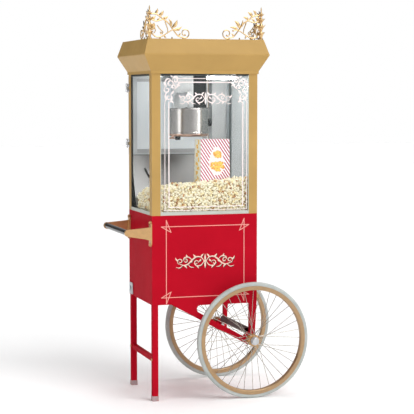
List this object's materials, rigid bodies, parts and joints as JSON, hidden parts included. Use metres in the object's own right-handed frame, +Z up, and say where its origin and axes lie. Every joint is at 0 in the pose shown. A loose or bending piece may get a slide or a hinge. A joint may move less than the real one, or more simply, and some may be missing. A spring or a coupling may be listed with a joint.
{
  "type": "popcorn maker",
  "caption": "Popcorn maker in a glazed cabinet with a flared dome, tilting kettle and rear door, on a red cart with spoked wheels, push handle and legs.",
  "frame": {"origin": "on the floor under the middle of the whole object", "axes": "+Z up; +X from the push handle towards the wheel side; front glass faces -Y, operator stands at +Y"},
  "size_m": [0.8128, 0.572, 1.697],
  "materials": {
    "red_paint": "gloss enamel",
    "gold_paint": "satin gold enamel",
    "gold_cast": "satin cast gold",
    "ornament_gold": "bright cast gold",
    "glass": "clear tempered",
    "frosted_pane": "frosted",
    "stainless": "brushed",
    "grey_panel": "satin light grey",
    "polished_steel": "mirror polished",
    "copper": "satin copper",
    "chrome": "polished",
    "dark_steel": "satin dark",
    "zinc": "zinc plated",
    "tyre": "grey rubber",
    "rim_gold": "satin gold",
    "spoke_steel": "polished",
    "black_plastic": "gloss",
    "grey_plastic": "translucent grey",
    "lamp_white": "lit tube",
    "popcorn": "popped corn",
    "striped_card": "printed card"
  },
  "bodies": {
    "cart": {"wagon_front_panel": "red_paint", "wagon_back_panel": "red_paint", "wagon_left_panel": "red_paint", "wagon_right_panel": "red_paint", "wagon_floor": "red_paint", "wagon_deck": "red_paint", "leg_front": "red_paint", "leg_back": "red_paint", "leg_brace": "red_paint", "leg_tips": "grey_plastic", "panel_bolts": "gold_cast", "handle_bracket_front": "gold_cast", "handle_bracket_back": "gold_cast", "handle_bar": "black_plastic", "axle_crossmember": "dark_steel", "stub_axles": "zinc", "axle_nuts": "zinc", "power_inlet": "stainless", "cabinet_base": "stainless", "post_front_left": "gold_paint", "post_front_right": "gold_paint", "rear_frame": "gold_paint", "front_glass": "glass", "left_glass": "glass", "right_glass": "glass", "dome_skirt": "gold_paint", "dome_cap": "gold_paint", "ceiling_panel": "dark_steel", "corner_ornament_left": "ornament_gold", "corner_ornament_right": "ornament_gold", "rear_apron": "stainless", "control_box": "grey_panel", "drive_housing": "grey_panel", "drive_motor": "dark_steel", "kettle_mast": "dark_steel", "lamp_holder": "grey_panel", "lamp_tube": "lamp_white", "popcorn_heap": "popcorn", "serving_carton": "striped_card", "door_hinges": "chrome"},
    "front_wheel": {"front_tyre": "tyre", "front_rim": "rim_gold", "front_hub": "gold_cast", "front_spokes": "spoke_steel"},
    "back_wheel": {"back_tyre": "tyre", "back_rim": "rim_gold", "back_hub": "gold_cast", "back_spokes": "spoke_steel"},
    "rear_door": {"rear_door_frame": "stainless", "rear_door_pane": "frosted_pane"},
    "kettle": {"kettle_pot": "polished_steel", "kettle_base": "copper", "kettle_knob": "black_plastic"},
    "kettle_lid": {"kettle_flap": "polished_steel"},
    "stirrer": {"agitator": "zinc"},
    "heat_rocker": {"switch_heat": "black_plastic"},
    "motor_rocker": {"switch_motor": "black_plastic"},
    "light_rocker": {"switch_light": "black_plastic"},
    "store_door": {"storage_door": "red_paint"},
    "drawer": {"kernel_drawer": "red_paint"}
  },
  "joints": [
    {"name": "front_wheel_spin", "type": "hinge", "parent": "cart", "child": "front_wheel", "pos_m": [0.1524, -0.246, 0.254], "axis": [0, 1, 0], "continuous": true},
    {"name": "back_wheel_spin", "type": "hinge", "parent": "cart", "child": "back_wheel", "pos_m": [0.1524, 0.246, 0.254], "axis": [0, 1, 0], "continuous": true},
    {"name": "rear_door_swing", "type": "hinge", "parent": "cart", "child": "rear_door", "pos_m": [-0.2934, 0.198, 1.226], "axis": [0, 0, 1], "range_deg": [0, 120]},
    {"name": "storage_door_swing", "type": "hinge", "parent": "cart", "child": "store_door", "pos_m": [-0.2554, 0.198, 0.614], "axis": [0, 0, 1], "range_deg": [0, 110]},
    {"name": "drawer_slide", "type": "slide", "parent": "cart", "child": "drawer", "axis": [0, 1, 0], "range_m": [0, 0.15]},
    {"name": "kettle_dump", "type": "hinge", "parent": "cart", "child": "kettle", "pos_m": [-0.0644, 0, 1.197], "axis": [1, 0, 0], "range_deg": [0, 100]},
    {"name": "kettle_lid_lift", "type": "hinge", "parent": "kettle", "child": "kettle_lid", "pos_m": [-0.0584, 0, 1.2624], "axis": [0, -1, 0], "range_deg": [0, 45]},
    {"name": "stirrer_spin", "type": "hinge", "parent": "kettle", "child": "stirrer", "pos_m": [-0.0644, 0, 1.2], "axis": [0, 0, 1], "continuous": true},
    {"name": "heat_switch", "type": "hinge", "parent": "cart", "child": "heat_rocker", "pos_m": [0.1196, 0.192, 1.33], "axis": [-1, 0, 0], "range_deg": [0, 20]},
    {"name": "motor_switch", "type": "hinge", "parent": "cart", "child": "motor_rocker", "pos_m": [0.1196, 0.192, 1.28], "axis": [-1, 0, 0], "range_deg": [0, 20]},
    {"name": "light_switch", "type": "hinge", "parent": "cart", "child": "light_rocker", "pos_m": [0.1196, 0.192, 1.23], "axis": [-1, 0, 0], "range_deg": [0, 20]}
  ]
}
